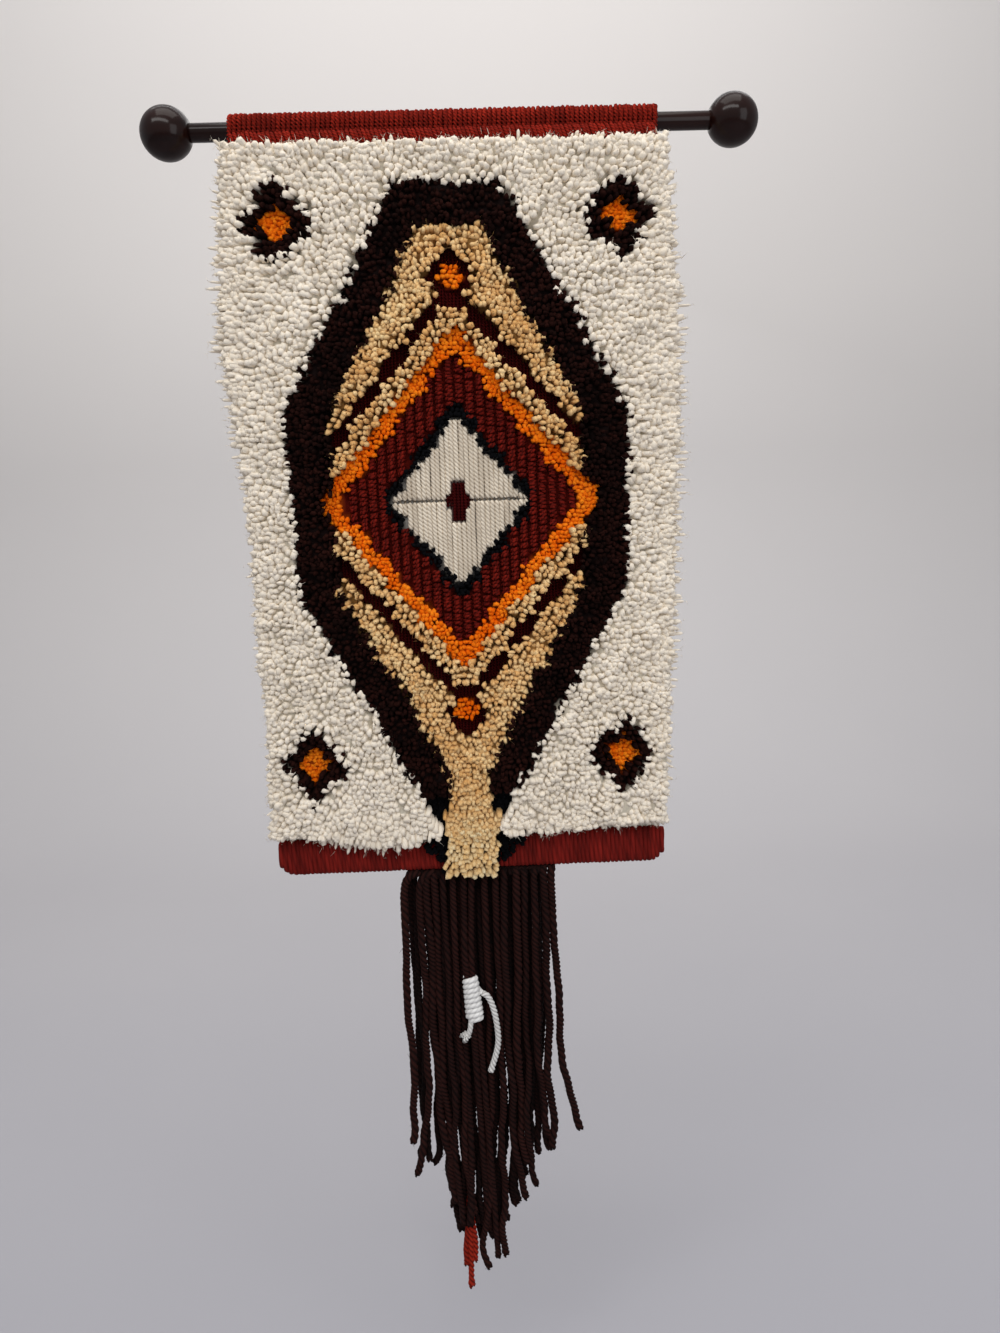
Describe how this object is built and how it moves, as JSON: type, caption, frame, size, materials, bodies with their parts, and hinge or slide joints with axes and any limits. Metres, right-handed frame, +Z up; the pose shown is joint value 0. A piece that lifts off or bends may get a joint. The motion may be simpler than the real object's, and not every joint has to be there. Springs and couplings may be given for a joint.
{
  "type": "latch hook wall hanging on a wooden rod",
  "caption": "Tall latch hook wall hanging: a canvas of cut and looped yarn pile hangs by its sleeve from a stained rod with ball ends, with a long brown yarn fringe tied with white yarn",
  "frame": {"origin": "middle of the rod's axis", "axes": "+X along the rod to the viewer's right, +Y away from the viewer, out of the cloth's back, +Z up"},
  "size_m": [0.4386, 0.0407, 0.9413],
  "materials": {
    "wood": "dark brown stain under a satin gloss varnish",
    "cream_yarn": "cut acrylic rug yarn pile",
    "rust_yarn": "plied acrylic yarn",
    "maroon_yarn": "plied acrylic yarn, wound flat",
    "brown_yarn": "plied acrylic yarn",
    "white_yarn": "plied acrylic yarn",
    "tan_yarn": "cut acrylic rug yarn pile",
    "orange_yarn": "short cut acrylic rug yarn pile",
    "black_yarn": "short cut acrylic rug yarn pile",
    "canvas": "stiffened cotton rug canvas"
  },
  "bodies": {
    "root": {"rod": "wood", "knob_left": "wood", "knob_right": "wood", "panel": "cream_yarn", "upper_binding": "rust_yarn", "lower_binding": "maroon_yarn", "fringe": "brown_yarn", "tie_wrap": "white_yarn", "tie_end": "white_yarn", "rust_strand": "rust_yarn"}
  },
  "joints": []
}
